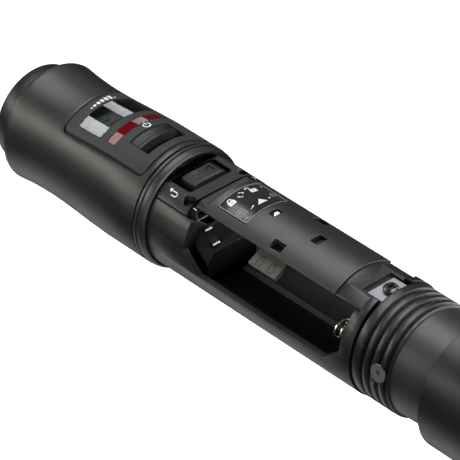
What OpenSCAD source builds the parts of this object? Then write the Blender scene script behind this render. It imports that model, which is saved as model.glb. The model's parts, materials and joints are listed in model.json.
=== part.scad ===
// Handheld wireless microphone transmitter with its battery sleeve slid open.
// The axis of the handle is X. X = 0 is the seat of the capsule and +X runs towards the antenna.
// +Z comes out of the display. The battery bay is open towards -Y and +Y.

/* [Handle] */
// Radius of the housing where the capsule seats
head_r = 18.9; // [18.5:0.1:20]
// Radius of the housing at its waist
waist_r = 18.0; // [17.8:0.1:18.4]
// Distance of the waist from the capsule seat
waist_x = 15; // [10:1:18]
// Radius of the housing next to the collar
grip_r = 19.0; // [18.9:0.1:20]
// Start of the straight stretch that a stand clip grips
grip_x = 44; // [42:0.5:45]
// Bore of the housing
bore_r = 16.4; // [16.2:0.1:16.6]
// Length of the housing without its collar ring
housing_len = 57.7; // [57.6:0.1:57.9]
// End of the collar ring's rounded lip
lip_x = 62; // [61.8:0.1:62.4]

/* [Bezel] */
// Start of the bezel
bezel_x0 = 20.3; // [20:0.1:21]
// End of the bezel
bezel_x1 = 55.5; // [54.6:0.1:55.8]
// Half width of the bezel pocket across the handle
bezel_half = 12.8; // [12.6:0.1:13.4]
// Corner radius of the bezel
bezel_corner = 1.4; // [1:0.1:2]
// Start and end of the display window
window_x = [24.6, 34.3]; // [24:0.1:35]
// Half width of the display window
window_half = 10.0; // [9.6:0.1:11.2]
// Start and end of the infrared strip
strip_x = [37.2, 40.4]; // [36.5:0.1:41]
// Start and end of the switch opening
switch_x = [43.7, 52.3]; // [43.5:0.1:52.6]
// Half width of the switch opening
switch_half = 7.1; // [6.5:0.1:7.3]
// Travel of the power switch
switch_travel = 2.2; // [1.5:0.1:2.2]

/* [Chassis] */
// Outer radius of the chassis frame and of the label shell
frame_r = 17.4; // [17.2:0.1:17.5]
// Inner radius of the chassis frame
frame_in = 15.4; // [15.2:0.1:15.6]
// Start of the battery opening
bay_x0 = 77.6; // [77:0.1:78]
// End of the battery opening
bay_x1 = 140.6; // [140:0.1:141]
// Height of the battery opening's lower edge
sill_z = -3.3; // [-3.6:0.1:-1.8]
// Height of the flat control deck
deck_z = 14.3; // [14:0.1:14.5]
// Half angle that the deck covers around the handle
deck_angle = 50; // [48:1:51]
// Start and end of the navigation key's opening
nav_x = [62.2, 70.6]; // [62:0.1:70.8]
// Half width of the navigation key's opening
nav_half = 8.0; // [7:0.1:8]
// Start and end of the label shell
shell_x = [80.2, 132.0]; // [80:0.1:132.4]
// Half angle that the label shell covers around the handle
shell_angle = 38; // [36:1:39]
// Start and end of the icon label
label_x = [81.7, 94.1]; // [81.4:0.1:94.6]
// Half width of the icon label
label_half = 8.3; // [7:0.05:8.6]
// Height of the tail flat
flat_z = 15.6; // [15.4:0.1:15.8]

/* [Battery] */
// Radius of a round AA cell with its play
cell_r = 7.7; // [7.5:0.1:7.8]
// Distance of a cell's axis from the middle plane
cell_y = 7.4; // [7.3:0.1:7.6]
// Height of the cells' axes
cell_z = -0.9; // [-1.2:0.1:-0.6]
// Height of the springs' axes above the cells' axes
spring_lift = 1.1; // [0:0.1:1.4]

/* [Tail] */
// Start and end of the threaded tail collar
tail_x = [145.2, 159.0]; // [145:0.1:159.4]
// Radius over the tail thread
thread_r = 17.0; // [16.8:0.1:17.0]
// Depth of the tail thread
thread_depth = 1.3; // [1:0.1:1.4]
// Distance between two turns of the tail thread
thread_pitch = 3; // [2.8:0.1:3.2]
// End of the antenna cover
antenna_x1 = 187; // [180:1:190]

/* [Sleeve] */
// Outer radius of the battery sleeve
sleeve_r = 18.9; // [18.8:0.1:19]
// Inner radius of the battery sleeve
sleeve_in = 17.65; // [17.6:0.05:17.7]
// How far the sleeve is slid towards the antenna
sleeve_open = 110; // [0:1:110]

/* [Hidden] */
$fn = 96;

gap = 0.1;                 // play between neighbouring pieces
far = 60;                  // a length beyond every piece
metal = [0.16, 0.16, 0.17];
dark_plastic = [0.11, 0.11, 0.12];
board_green = [0.10, 0.28, 0.16];
gold = [0.83, 0.66, 0.33];
steel = [0.42, 0.42, 0.44];
olive = [0.36, 0.37, 0.33];

// Battery bay
floor_z = cell_z - cell_r;               // lowest point of the pack's stadium section
bulkhead_x = [73.6, 75.2];               // head bulkhead of the frame
tail_wall_x = [140.6, 142.6];            // tail bulkhead of the frame
spine_x = [75.4, 142.0];
spine_in = 14.9;
spine_out = 16.1;
strip_r = 16.5;                          // spine where it shows next to the deck
step_r = 16.9;                           // spine where it shows behind the shell
wedge_tip_x = 80.9;
wedge_rise = 80.3;                       // X plus Z on the sloped face of the contact block
wedge_half = 8.4;                        // half width of the sloped face

// Places of the contact bars on the sloped face, for the -Y side
contact_places = [[76.3, -7.0, 4.0], [79.5, -7.0, 0.8]];
contact_half = 0.3;         // half thickness of a contact bar

// Openings of the label shell: start and end along X, low and high angle from +Z towards -Y
windows = [[96.0, 98.4, -6.2, 6.2], [104.7, 109.4, 23.4, 33.6], [104.7, 109.4, -33.6, -23.4],
           [113.1, 116.3, -7, 7]];

// Navigation key
nav_mid = (nav_x[0] + nav_x[1]) / 2;
deck_under = 12.4;
deck_boss_r = 2.7;          // screw bosses under the deck
deck_x = [59.3, 74.8];
deck_screw = [72.9, 10, 11.0];           // place of the -Y or +Y screw's head seat
key_top = 15.2;
key_pivot = 10.6;
key_pin_r = 0.3;
gimbal_pivot = 9.6;

// Flap hinge, on the -Y side
hinge_y = -8.1;
hinge_z = 10.8;
hinge_r = 0.55;
flap_x = [100.8, 111.5];
flap_angle = 28;                         // droop of the flap below the horizontal
flap_len = 5.7;

// Tail
flat_half = 6.2;
ramp_x = [132.4, 135.8];                 // slope between the shell and the tail flat
plate_x = [139.0, 145.0];
plate_way = 6.2;                         // half width of the way that the ground plate lies in
plate_way_z = 11;                        // its lowest point
ground_screw_x = 142.9;
tail_screw_x = 154.9;
tail_screw_angle = 80.5;
tail_screw_r = 2.7;

function lerp(a, b, t) = a + (b - a) * t;
function smooth(t) = t * t * (3 - 2 * t);

// Outer radius of the housing at a distance from the capsule seat
function housing_r(x) =
  x < waist_x ? lerp(waist_r, head_r, pow((waist_x - x) / waist_x, 2))
  : lerp(waist_r, grip_r, smooth(min(1, (x - waist_x) / (grip_x - waist_x))));

// Turns a profile of [distance along X, radius] points around the X axis
module lathe(points) {
  rotate([0, 90, 0]) rotate_extrude() polygon([for (p = points) [p[1], p[0]]]);
}

// Plain round solid along X
module rod(r, x0, x1) {
  translate([x0, 0, 0]) rotate([0, 90, 0]) cylinder(r = r, h = x1 - x0);
}

// Tube along X
module tube(r_out, r_in, x0, x1) {
  difference() {
    rod(r_out, x0, x1);
    rod(r_in, x0 - 1, x1 + 1);
  }
}

// Extrudes a [y, z] outline along X
module along_x(x0, x1) {
  translate([x0, 0, 0]) rotate([90, 0, 90]) linear_extrude(x1 - x0) children();
}

// Extrudes an [x, z] outline along Y
module along_y(y0, y1) {
  translate([0, y1, 0]) rotate([90, 0, 0]) linear_extrude(y1 - y0) children();
}

// Box from one corner to the opposite corner
module block(low, high) {
  translate(low) cube(high - low);
}

// Upright block with rounded corners, centred across the handle
module rounded_block(x0, x1, half, r, z0, z1) {
  block([x0 + r, -half, z0], [x1 - r, half, z1]);
  block([x0, -half + r, z0], [x1, half - r, z1]);
  for (x = [x0 + r, x1 - r], y = [-half + r, half - r])
    translate([x, y, z0]) cylinder(r = r, h = z1 - z0, $fn = 48);
}

// Sector around +Z with a half angle under 90 degrees
module sector(half_angle, x0, x1) {
  along_x(x0, x1)
    polygon([[0, 0], [far * sin(half_angle), far * cos(half_angle)],
             [-far * sin(half_angle), far * cos(half_angle)]]);
}

// The housing's outer form, lowered by a depth
module housing_form(depth) {
  steps = 16;
  lathe(concat([[0, 0]],
    [for (i = [0 : steps]) let(x = grip_x * i / steps) [x, housing_r(x) - depth]],
    [[housing_len, grip_r - depth], [housing_len, 0]]));
}

// Stadium outline of a battery pack: two cells side by side
module pack_outline(play = 0) {
  for (s = [-1, 1]) translate([s * cell_y, cell_z]) circle(r = cell_r + play);
  translate([-cell_y, floor_z - play]) square([2 * cell_y, 2 * (cell_r + play)]);
}

// ---------------------------------------------------------------- housing and display

module upper_housing() {
  inner_x = [23.4, 53.0];
  inner_half = 11.4;
  color(metal) difference() {
    housing_form(0);
    rod(bore_r, -1, housing_len + 1);
    // bezel pocket with a ledge
    difference() {
      rounded_block(bezel_x0, bezel_x1, bezel_half, bezel_corner, 0, far);
      rod(bore_r + 0.6, bezel_x0 - 1, bezel_x1 + 1);
    }
    // opening inside the ledge
    block([inner_x[0], -inner_half, 0], [inner_x[1], inner_half, far]);
  }
}

module display_bezel() {
  end_gap = 0.3;
  side_gap = 0.6;
  color([0.20, 0.21, 0.22]) difference() {
    intersection() {
      housing_form(0);
      rounded_block(bezel_x0 + end_gap, bezel_x1 - end_gap, bezel_half - side_gap, bezel_corner - 0.2,
                    0, far);
    }
    rod(bore_r + 0.65, bezel_x0 - 1, bezel_x1 + 1);
    rounded_block(window_x[0], window_x[1], window_half, 0.8, 0, far);
    rounded_block(strip_x[0], strip_x[1], window_half, 0.6, 0, far);
    rounded_block(switch_x[0], switch_x[1], switch_half, 0.5, 0, far);
  }
}

// A lens that fills an opening of the bezel
module lens(x, half, r, sink) {
  difference() {
    intersection() {
      housing_form(sink);
      rounded_block(x[0] + gap, x[1] - gap, half - gap, r, 0, far);
    }
    rod(bore_r + 0.8, x[0] - 1, x[1] + 1);
  }
}

module display_window() {
  color([0.10, 0.11, 0.13]) lens(window_x, window_half, 0.7, 0.1);
}

module ir_window() {
  color([0.55, 0.05, 0.07]) lens(strip_x, window_half, 0.5, 0.05);
}

module lcd_module() {
  case_x = [21.2, 35.4];
  case_half = 7.1;
  edge = 0.8;
  color([0.30, 0.34, 0.33]) {
    block([case_x[0], -case_half, 11.0], [case_x[1], case_half, 14.0]);
    block([case_x[0] + edge, -case_half + edge, 14.0], [case_x[1] - edge, case_half - edge, 14.7]);
  }
}

module power_slider() {
  seat = bore_r + 0.05;
  cap = bore_r + 0.55;
  button_x = [switch_x[0] + 0.2, 50.0];
  button_half = switch_half - 0.2;
  rib_x = [46.9, 48.3];
  rib_r = 18.9;
  guard_x = [switch_x[0] - switch_travel - gap, 50.6];
  guard_half = 8;
  color([0.14, 0.14, 0.15]) {
    // thumb button with one rib across it
    intersection() {
      lathe([[button_x[0], cap - 0.1], [button_x[0], 18.75], [rib_x[0] - 0.4, 18.0], [rib_x[0], rib_r],
             [rib_x[1], rib_r], [rib_x[1] + 0.2, rib_r - 0.2], [button_x[1], 17.5],
             [button_x[1], cap - 0.1]]);
      block([button_x[0] - 1, -button_half, 0], [button_x[1] + 1, button_half, far]);
    }
    // curved guard plate that slides under the bezel
    intersection() {
      tube(cap, seat, guard_x[0], guard_x[1]);
      block([guard_x[0], -guard_half, 0], [guard_x[1], guard_half, far]);
    }
    block([46.4, -0.9, 14.0], [47.6, 0.9, seat + 0.3]);
  }
}

module switch_body() {
  color(steel) difference() {
    block([44.4, -3.6, 11.0], [51.6, 3.6, 14.8]);
    block([45.6, -1.2, 13.2], [50.8, 1.2, 15]);
  }
}

module display_board() {
  color(board_green) block([20, -12.0, 9.6], [56, 12.0, 11.0]);
}

module housing_carrier() {
  color(dark_plastic) difference() {
    tube(bore_r - 0.05, 14.3, 6, 56);
    block([5, -far, 9.6], [57, far, far]);
  }
}

module collar_ring() {
  lip_r = 18.85;
  arc_len = 2.0;
  arc_end = 56;
  arc_drop = 1.8;
  arc_steps = 6;
  color(metal) lathe(concat(
    [[58.1, frame_r + 0.05], [58.1, 18.9], [58.3, grip_r], [59.2, grip_r], [59.2, 18.5], [59.5, 18.5],
     [59.5, lip_r], [lip_x - arc_len, lip_r]],
    [for (i = [1 : arc_steps]) let(a = arc_end * i / arc_steps)
      [lip_x - arc_len + arc_len * sin(a) / sin(arc_end), lip_r - arc_drop * (1 - cos(a))]],
    [[lip_x, frame_r + 0.05]]));
}

module collar_gasket() {
  color([0.03, 0.03, 0.03]) tube(18.55, frame_r + 0.1, housing_len, 58.1);
}

// ---------------------------------------------------------------- capsule end

module capsule_socket() {
  color(dark_plastic) difference() {
    union() {
      rod(15.65, -7, 0.2);
      rod(15.2, 0.1, 0.8);
      rod(bore_r - 0.05, 0.8, 5.0);
    }
    rod(12.6, -8, 3.4);
    rod(10, 3, 6);
  }
}

module capsule_board() {
  color(board_green) rod(12.5, -2.2, -0.8);
  color(board_green) for (a = [30, 150, 270]) rotate([a, 0, 0]) translate([-0.8, 0, 9])
    rotate([0, 90, 0]) cylinder(r = 1.2, h = 4.2);
}

module contact_rings() {
  color(gold) {
    rod(1.5, -2.5, -2.2);
    for (r = [4.2, 7.4, 10.4]) tube(r, r - 1.3, -2.5, -2.2);
  }
}

// ---------------------------------------------------------------- chassis

// Battery opening between two places along Y, with a chosen end of its front edge
module bay_opening(y0, y1, front_edge) {
  along_y(y0, y1) polygon([
    [bay_x0, far], front_edge, [bay_x0 + 5.7, sill_z], [bay_x1 - 7.0, sill_z],
    [bay_x1 - 0.3, 1.9], [bay_x1, 2.6], [bay_x1, far]]);
}

module chassis_frame() {
  cable_r = 4;
  cable_half = 5;
  color(metal) {
    difference() {
      union() {
        tube(frame_r, frame_in, 58.2, 144.7);
        tube(bore_r - 0.05, frame_in - 0.9, 56.4, 59.2);
        // bulkheads
        intersection() {
          union() {
            rod(frame_in + 0.5, bulkhead_x[0], bulkhead_x[1]);
            rod(frame_in + 0.5, tail_wall_x[0], tail_wall_x[1]);
          }
          block([50, -far, -far], [150, far, 8.6]);
        }
        // screw bosses of the deck
        for (s = [-1, 1]) translate([deck_screw[0], s * deck_screw[1], 3])
          cylinder(r = 2.2, h = 6.2);
      }
      // deck and spine sit in the open top
      sector(deck_angle + 0.9, 59.2, bay_x0 + 0.1);
      sector(40, bay_x1 - 1, spine_x[1] + 0.3);
      block([spine_x[1], -plate_way, plate_way_z], [146, plate_way, far]);
      // battery opening, right through both sides, with its corner cut on the -Y side only
      bay_opening(0, far, [bay_x0, sill_z]);
      bay_opening(-far, 0.1, [bay_x0, 2.4]);
      // cable openings and screw threads
      rod(cable_r, bulkhead_x[0] - 1, bulkhead_x[1] + 1);
      for (s = [-1, 1]) translate([deck_screw[0], s * deck_screw[1], 5])
        cylinder(r = 0.95, h = 10, $fn = 24);
      block([50, -cable_half, 4.6], [77, cable_half, 9]);
    }
  }
}

module control_deck() {
  color([0.19, 0.19, 0.20]) difference() {
    union() {
      difference() {
        intersection() {
          rod(frame_r - 0.02, deck_x[0], deck_x[1]);
          sector(deck_angle, deck_x[0] - 1, deck_x[1] + 1);
          block([50, -far, 0], [80, far, deck_z]);
        }
        intersection() {
          rod(15.2, deck_x[0] - 1, deck_x[1] + 1);
          block([50, -far, 0], [80, far, deck_under]);
        }
      }
      // screw bosses
      intersection() {
        for (s = [-1, 1]) translate([deck_screw[0], s * deck_screw[1], 9.3])
          cylinder(r = deck_boss_r, h = 4);
        rod(15.3, 60, deck_x[1]);
      }
    }
    rounded_block(nav_x[0], nav_x[1], nav_half, 1.2, 8, 20);
    for (s = [-1, 1]) translate([deck_screw[0], s * deck_screw[1], 0]) {
      cylinder(r = 1.15, h = 20);
      translate([0, 0, deck_screw[2]]) cylinder(r = 1.75, h = 20);
    }
  }
}

// Screw along -Z with a cross recess; the origin is the underside of its head
module cross_screw(head_r, head_h, shank_r, shank_l, recess_r) {
  difference() {
    union() {
      cylinder(r = head_r, h = head_h * 0.6);
      translate([0, 0, head_h * 0.6]) cylinder(r1 = head_r, r2 = head_r * 0.72, h = head_h * 0.4);
      translate([0, 0, -shank_l]) cylinder(r = shank_r, h = shank_l + 0.1);
    }
    for (a = [0, 90]) rotate([0, 0, a + 20])
      block([-recess_r, -recess_r * 0.22, head_h * 0.35], [recess_r, recess_r * 0.22, head_h + 1]);
  }
}

module deck_screws() {
  color(steel) for (s = [-1, 1]) translate([deck_screw[0], s * deck_screw[1], deck_screw[2]])
    cross_screw(1.6, 1.1, 0.9, 5.4, 0.9);
}

module deck_clip() {
  reach = 11.3;
  color(steel) {
    block([75.4, -reach, 9.0], [76.9, reach, 9.5]);
    for (s = [-1, 1]) {
      translate([0, s * (reach - 0.25), 0]) block([75.4, -0.25, 9.0], [76.9, 0.25, 13.1]);
    }
  }
}

module nav_cap() {
  half_x = 2.9;
  key_y = [-5.0, 6.4];
  foot_z = 12.2;
  stem = [1.2, 0.8];
  color([0.17, 0.17, 0.18]) difference() {
    union() {
      intersection() {
        // tapered long sides
        along_y(key_y[0] - 0.4, key_y[1] + 0.4) polygon([
          [nav_mid - half_x - 0.3, foot_z], [nav_mid + half_x + 0.3, foot_z],
          [nav_mid + half_x, key_top - 0.5], [nav_mid + half_x - 0.5, key_top],
          [nav_mid - half_x + 0.5, key_top], [nav_mid - half_x, key_top - 0.5]]);
        // sloped ends
        along_x(nav_x[0], nav_x[1]) polygon([
          [key_y[0] - 0.3, foot_z], [key_y[1] + 0.3, foot_z], [key_y[1], key_top - 0.9],
          [key_y[1] - 1.6, key_top - 0.1], [0, key_top], [key_y[0] + 1.6, key_top - 0.1],
          [key_y[0], key_top - 0.9]]);
      }
      block([nav_mid - stem[0], -stem[1], key_pivot - 0.5], [nav_mid + stem[0], stem[1], foot_z + 0.1]);
    }
    // bore of the stem around the gimbal's upper pin
    translate([0, 0, key_pivot]) rod(key_pin_r + 0.05, nav_mid - 2, nav_mid + 2);
    // chiselled arrowhead in the top
    translate([nav_mid - 0.2, 2.9, key_top - 0.7]) linear_extrude(1)
      polygon([[1.5, 1.2], [-1.5, 1.2], [0, -1.5]]);
  }
}

module nav_gimbal() {
  half_x = 1.9;
  half_y = 3.2;
  ear = 0.5;
  color(steel) {
    block([nav_mid - half_x, -half_y, gimbal_pivot + 0.1], [nav_mid + half_x, half_y, 9.95]);
    // lower pin along Y
    translate([nav_mid, -half_y, gimbal_pivot]) rotate([-90, 0, 0])
      cylinder(r = 0.4, h = 2 * half_y, $fn = 24);
    // ears with the upper pin along X
    for (x = [nav_mid - half_x, nav_mid + half_x - ear])
      block([x, -0.7, 9.9], [x + ear, 0.7, key_pivot + 0.6]);
    translate([0, 0, key_pivot]) rod(key_pin_r, nav_mid - half_x, nav_mid + half_x);
  }
}

module nav_switch_base() {
  color([0.24, 0.24, 0.22]) {
    difference() {
      block([61.6, -7.4, 7.0], [71.6, 7.4, 9.3]);
      block([nav_mid - 2.1, -3.4, 9.0], [nav_mid + 2.1, 3.4, 10]);
    }
    for (y = [-5.6, 5.6]) translate([nav_mid, y, 9.2]) cylinder(r = 1.2, h = 0.5, $fn = 32);
  }
}

module key_gasket() {
  color([0.04, 0.04, 0.04]) difference() {
    block([nav_x[0] - 1, -nav_half - 0.6, 11.7], [nav_x[1] + 0.8, nav_half + 0.6, deck_under]);
    block([nav_x[0] + 0.25, -nav_half + 1.0, 11], [nav_x[1] - 0.25, nav_half - 1.0, 13]);
    // corners relieved around the deck's screw bosses
    for (s = [-1, 1]) translate([deck_screw[0], s * deck_screw[1], 11])
      cylinder(r = deck_boss_r + gap, h = 2);
  }
}

module label_shell() {
  color([0.18, 0.18, 0.19]) difference() {
    intersection() {
      tube(frame_r, spine_out + 0.05, shell_x[0], shell_x[1]);
      sector(shell_angle, 0, 200);
    }
    // pocket of the label
    difference() {
      rounded_block(label_x[0], label_x[1], label_half, 0.8, 0, far);
      rod(frame_r - 0.3, label_x[0] - 1, label_x[1] + 1);
    }
    for (w = windows) {
      low = -frame_r * sin(w[3]);
      high = -frame_r * sin(w[2]);
      block([w[0], low, 10], [w[1], high, far]);
    }
  }
}

module icon_label() {
  color([0.22, 0.23, 0.24]) intersection() {
    tube(frame_r - 0.03, frame_r - 0.28, label_x[0], label_x[1]);
    rounded_block(label_x[0] + gap, label_x[1] - gap, label_half - gap, 0.7, 0, far);
  }
}

module chassis_spine() {
  thick_in = 13.2;
  thin_x = [shell_x[0] + 0.3, 130];
  shelf_x = [77.8, 79.9];
  color([0.13, 0.13, 0.14]) difference() {
    union() {
      intersection() {
        difference() {
          union() {
            rod(strip_r, spine_x[0], shell_x[0]);
            rod(spine_out, shell_x[0] - 0.1, shell_x[1] + 0.1);
            rod(step_r, shell_x[1], spine_x[1]);
          }
          rod(thick_in, 0, 200);
          rod(spine_in, thin_x[0], thin_x[1]);
        }
        sector(shell_angle, 0, 200);
      }
      // hinge ears of the flap
      intersection() {
        for (x = [flap_x[0] - 1.4, flap_x[1] + 0.2])
          block([x, -9.4, 9.4], [x + 1.2, -6.4, far]);
        rod(spine_in + 0.3, 0, 200);
      }
    }
    // flat that continues the deck, rising to the shell
    along_y(-far, far) polygon([
      [spine_x[0] - 1, deck_z], [shelf_x[0], deck_z], [shelf_x[1], strip_r + 0.1],
      [shelf_x[1], far], [spine_x[0] - 1, far]]);
    // clear openings under the shell windows
    block([92.0, -5.2, 8], [101.6, 5.2, far]);
    block([103.5, -12, 13.0], [110.6, -5.8, far]);
    block([103.5, 5.8, 8], [110.6, 12, far]);
    block([112.0, -2.6, spine_in + 0.6], [113.9, 2.6, far]);
    // hinge pin hole
    translate([0, hinge_y, hinge_z]) rod(hinge_r + 0.05, 90, 120);
    // tail flat, with a sloped run-in behind the shell
    difference() {
      block([ramp_x[0], -flat_half, flat_z], [150, flat_half, far]);
      lathe([[ramp_x[0] - 1, 0], [ramp_x[0] - 1, step_r + 0.2], [ramp_x[0], step_r + 0.2],
             [ramp_x[1], flat_z - 0.1], [ramp_x[1], 0]]);
    }
    // recess of the ground plate
    block([137.4, -5.35, 14.5], [150, 5.35, far]);
    translate([ground_screw_x, 0, 10]) cylinder(r = 0.95, h = 10, $fn = 24);
  }
}

module aa_flap() {
  color(olive) difference() {
    union() {
      translate([0, hinge_y, hinge_z]) rod(1.15, flap_x[0], flap_x[1]);
      translate([0, hinge_y, hinge_z]) rotate([flap_angle, 0, 0])
        block([flap_x[0], -flap_len, -0.3], [flap_x[1], 0, 1.1]);
    }
    translate([0, hinge_y, hinge_z]) rod(hinge_r + 0.05, flap_x[0] - 1, flap_x[1] + 1);
  }
}

module aa_hinge_pin() {
  color(steel) translate([0, hinge_y, hinge_z]) rod(hinge_r, flap_x[0] - 1.5, flap_x[1] + 1.5);
}

module bay_floor() {
  color([0.10, 0.10, 0.10]) difference() {
    intersection() {
      rod(frame_in - 0.1, 83.2, bay_x1);
      block([80, -far, -10.0], [150, far, sill_z - 0.3]);
    }
    along_x(80, 150) pack_outline();
  }
}

module bay_rail() {
  color(olive) block([84, -0.9, floor_z], [bay_x1 - 0.6, 0.9, floor_z + 0.5]);
}

module contact_block() {
  color([0.12, 0.12, 0.13]) {
    difference() {
      along_y(-11.2, 11.2) polygon([
        [bulkhead_x[1], -8.5], [bulkhead_x[1], wedge_rise - bulkhead_x[1] - 0.2],
        [bulkhead_x[1] + 0.2, wedge_rise - bulkhead_x[1] - 0.2],
        [wedge_tip_x, wedge_rise - wedge_tip_x], [wedge_tip_x, -8.5]]);
      for (s = [-1, 1]) {
        // slots of the contact bars
        for (c = contact_places) translate([c[0], s * c[1], c[2]]) rotate([0, 45, 0])
          block([-contact_half - 0.2, -1.55, -1.2], [contact_half + 0.2, 1.55, 3]);
        // slanted facet beside the sloped face
        translate([wedge_rise, 0, 0]) rotate([0, 45, 0]) along_x(-20, 20)
          polygon([[s * wedge_half, 0.5], [s * wedge_half, 0], [s * (wedge_half + 6), -6],
                   [s * (wedge_half + 6), 0.5]]);
      }
    }
  }
}

module pack_contacts() {
  color(gold) for (s = [-1, 1], c = contact_places)
    translate([c[0], s * c[1], c[2]]) rotate([0, 45, 0])
      block([-contact_half, -1.3, -0.45], [contact_half, 1.3, 0.9]);
}

module spring_plate() {
  color([0.14, 0.13, 0.12]) along_x(bay_x1 - 0.6, bay_x1) difference() {
    pack_outline(-0.4);
    for (s = [-1, 1]) translate([s * cell_y, cell_z]) circle(r = 1.2);
  }
}

// One coil along +X, wound from big turns to small ones
module coil(turns, length, r_base, r_tip, wire) {
  steps = 14;
  sides = 6;
  rings = turns * steps;
  function place(i) = let(t = i / rings, a = 360 * turns * t, r = lerp(r_base, r_tip, t))
    [length * t, r * cos(a), r * sin(a)];
  points = [for (i = [0 : rings], j = [0 : sides - 1])
    let(a = 360 * turns * i / rings, b = 360 * j / sides, c = place(i))
    [c[0] + wire * sin(b), c[1] + wire * cos(b) * cos(a), c[2] + wire * cos(b) * sin(a)]];
  quads = [for (i = [0 : rings - 1], j = [0 : sides - 1])
    [i * sides + j, i * sides + (j + 1) % sides, (i + 1) * sides + (j + 1) % sides, (i + 1) * sides + j]];
  caps = [[for (j = [sides - 1 : -1 : 0]) j], [for (j = [0 : sides - 1]) rings * sides + j]];
  polyhedron(points, concat(quads, caps));
}

module cell_springs() {
  color([0.78, 0.74, 0.66]) for (s = [-1, 1])
    translate([bay_x1 - 0.95, s * cell_y, cell_z + spring_lift]) mirror([1, 0, 0])
      coil(4, 9.2, 3.3, 2.9, 0.33);
}

module main_board() {
  color(board_green) block([84, -9.0, -11.9], [138, 9.0, -10.6]);
  color(board_green) for (x = [90, 132], y = [-6.5, 6.5])
    translate([x, y, -10.6]) cylinder(r = 1.4, h = 0.6, $fn = 32);
}

module shield_can() {
  color(steel) block([96, -6.0, -13.6], [122, 6.0, -11.9]);
}

module ground_plate() {
  color([0.78, 0.79, 0.80]) difference() {
    block([plate_x[0], -4.9, 14.5], [plate_x[1], 4.9, 15.0]);
    translate([ground_screw_x, 0, 10]) cylinder(r = 1.1, h = 10, $fn = 32);
  }
}

module ground_screw() {
  color(steel) translate([ground_screw_x, 0, 15.0]) cross_screw(2.25, 1.9, 0.9, 3.0, 1.4);
}

// Direction of a tail screw: radial, on the -Y side for s = -1
module at_tail_screw(s) {
  rotate([-s * tail_screw_angle, 0, 0]) translate([tail_screw_x, 0, 0]) children();
}

module tail_collar() {
  first_crest = 146.9;
  turns = 4;
  land = 0.5 * thread_pitch;
  flank = 0.35;
  color(metal) difference() {
    union() {
      lathe(concat(
        [[tail_x[0], 12.6], [tail_x[0], thread_r - 0.4], [tail_x[0] + 0.4, thread_r]],
        [for (i = [0 : turns - 1], k = [0 : 3])
          let(x = first_crest + land + i * thread_pitch - 0.35)
          [[x, thread_r], [x + flank, thread_r - thread_depth],
           [x + thread_pitch - land - flank, thread_r - thread_depth],
           [x + thread_pitch - land, thread_r]][k]],
        [[tail_x[1], thread_r - 0.7], [tail_x[1], 12.6]]));
      // spigot inside the frame's ring
      tube(frame_in - 0.1, 12.6, 142.6, tail_x[0] + 0.1);
    }
    block([140, -plate_way, plate_way_z], [tail_x[0], plate_way, far]);
    for (s = [-1, 1]) at_tail_screw(s) {
      cylinder(r = 1.05, h = far);
      translate([0, 0, thread_r - 2.1]) cylinder(r1 = 1.05, r2 = tail_screw_r + 0.15, h = 1.4);
      translate([0, 0, thread_r - 0.71]) cylinder(r = tail_screw_r + 0.15, h = far);
    }
  }
}

module tail_screws() {
  color(steel) for (s = [-1, 1]) at_tail_screw(s) difference() {
    union() {
      translate([0, 0, thread_r - 2.0]) cylinder(r1 = 0.95, r2 = tail_screw_r, h = 1.4);
      translate([0, 0, thread_r - 0.6]) cylinder(r = tail_screw_r, h = 0.25);
      translate([0, 0, 12.9]) cylinder(r = 0.95, h = 2.2, $fn = 32);
    }
    // six-lobed socket
    for (a = [0, 60, 120]) rotate([0, 0, a])
      block([-0.85, -0.3, thread_r - 1.3], [0.85, 0.3, thread_r + 1]);
  }
}

// ---------------------------------------------------------------- antenna and sleeve

module antenna_cap() {
  round_r = 5;
  base_r = 16.1;
  tip_r = 15.2;
  wall = 1.8;
  end_x = antenna_x1;
  color([0.09, 0.09, 0.10]) {
    lathe(concat(
      [[tail_x[1], base_r - wall], [tail_x[1], base_r], [end_x - round_r, tip_r]],
      [for (a = [15 : 15 : 90]) [end_x - round_r + round_r * sin(a), tip_r - round_r * (1 - cos(a))]],
      [[end_x, 0], [end_x - wall, 0]],
      [for (a = [90 : -15 : 0])
        [end_x - round_r + (round_r - wall) * sin(a), tip_r - round_r + (round_r - wall) * cos(a)]]));
    // spigot in the tail collar
    tube(12.5, 10.8, 150, tail_x[1] + 0.5);
    tube(base_r - 0.5, 10.8, tail_x[1], tail_x[1] + 1.6);
  }
}

module antenna_core() {
  color([0.80, 0.79, 0.74]) {
    rod(7, 156, 180);
    rod(10.7, 151, 156);
  }
}

module antenna_element() {
  color([0.72, 0.42, 0.22]) for (x = [159 : 3.4 : 176]) tube(7.45, 7.0, x, x + 1.6);
}

module battery_sleeve() {
  end = 159.4;
  color(metal) translate([sleeve_open, 0, 0]) lathe([
    [lip_x + 0.2, sleeve_in], [lip_x + 0.2, sleeve_r - 0.35], [lip_x + 0.55, sleeve_r],
    [128, sleeve_r], [end - 1.2, 18.5], [end - 0.35, 18.3], [end, 17.9],
    [end, sleeve_in]]);
}

module sleeve_insert() {
  color([0.20, 0.20, 0.21]) translate([sleeve_open, 0, 0])
    tube(sleeve_in, thread_r + 0.1, 145.4, 158.9);
}

upper_housing();
display_bezel();
display_window();
lcd_module();
ir_window();
power_slider();
switch_body();
display_board();
housing_carrier();
collar_ring();
collar_gasket();
capsule_socket();
capsule_board();
contact_rings();
chassis_frame();
chassis_spine();
control_deck();
deck_screws();
deck_clip();
nav_cap();
nav_gimbal();
nav_switch_base();
key_gasket();
label_shell();
icon_label();
aa_flap();
aa_hinge_pin();
bay_floor();
bay_rail();
contact_block();
pack_contacts();
spring_plate();
cell_springs();
main_board();
shield_can();
ground_plate();
ground_screw();
tail_collar();
tail_screws();
antenna_cap();
antenna_core();
antenna_element();
battery_sleeve();
sleeve_insert();
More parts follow.
